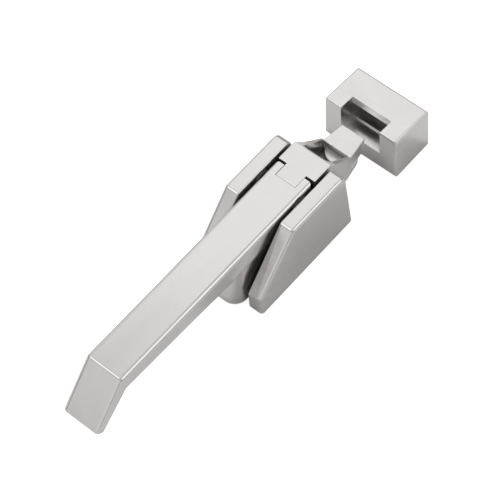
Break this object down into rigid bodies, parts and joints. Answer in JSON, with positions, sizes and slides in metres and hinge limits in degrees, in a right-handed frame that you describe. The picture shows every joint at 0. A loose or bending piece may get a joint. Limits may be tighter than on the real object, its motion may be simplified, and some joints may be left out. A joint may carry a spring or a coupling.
{
  "type": "compression lever latch",
  "caption": "Heavy polished stainless lever latch: a bent handle between two cheeks swings a hook whose nose draws up under the lip of a separate keeper block.",
  "frame": {"origin": "centre of the four fixing holes under the housing, on its mounting plane", "axes": "+Z away from the mounting plane, +Y from the handle towards the keeper, +X to the right"},
  "size_m": [0.0484, 0.2453, 0.0452],
  "materials": {
    "polished_steel": "polished",
    "pin_steel": "ground",
    "screw_steel": "blackened",
    "spring_wire": "drawn",
    "dark_acetal": "matte"
  },
  "bodies": {
    "housing": {"housing": "polished_steel", "lever_pivot_pin": "pin_steel", "hook_pivot_pin": "pin_steel", "lever_pin_set_screw": "screw_steel", "hook_pin_set_screw": "screw_steel", "lever_washer_left": "dark_acetal", "lever_washer_right": "dark_acetal", "hook_washer_left": "dark_acetal", "hook_washer_right": "dark_acetal", "return_spring_left": "spring_wire", "return_spring_right": "spring_wire"},
    "lever": {"lever": "polished_steel", "cam_pin": "pin_steel"},
    "roller": {"cam_roller": "pin_steel"},
    "hook": {"hook": "polished_steel", "nose_piece": "polished_steel", "nose_screw": "screw_steel"},
    "keeper": {"keeper": "polished_steel"}
  },
  "joints": [
    {"name": "lever_pivot", "type": "hinge", "parent": "housing", "child": "lever", "pos_m": [0, 0.0075, 0.0388], "axis": [-1, 0, 0], "range_deg": [0, 60]},
    {"name": "hook_pivot", "type": "hinge", "parent": "housing", "child": "hook", "pos_m": [0, 0.0265, 0.03], "axis": [-1, 0, 0], "range_deg": [0, 20]},
    {"name": "roller_spin", "type": "hinge", "parent": "lever", "child": "roller", "pos_m": [0, -0.002, 0.032], "axis": [-1, 0, 0], "continuous": true},
    {"name": "keeper_slide", "type": "slide", "parent": "housing", "child": "keeper", "axis": [0, 1, 0], "range_m": [0, 0.03]}
  ],
  "couplings": [
    {"joint": "hook_pivot", "follows": "lever_pivot", "ratio": 0.3333}
  ]
}
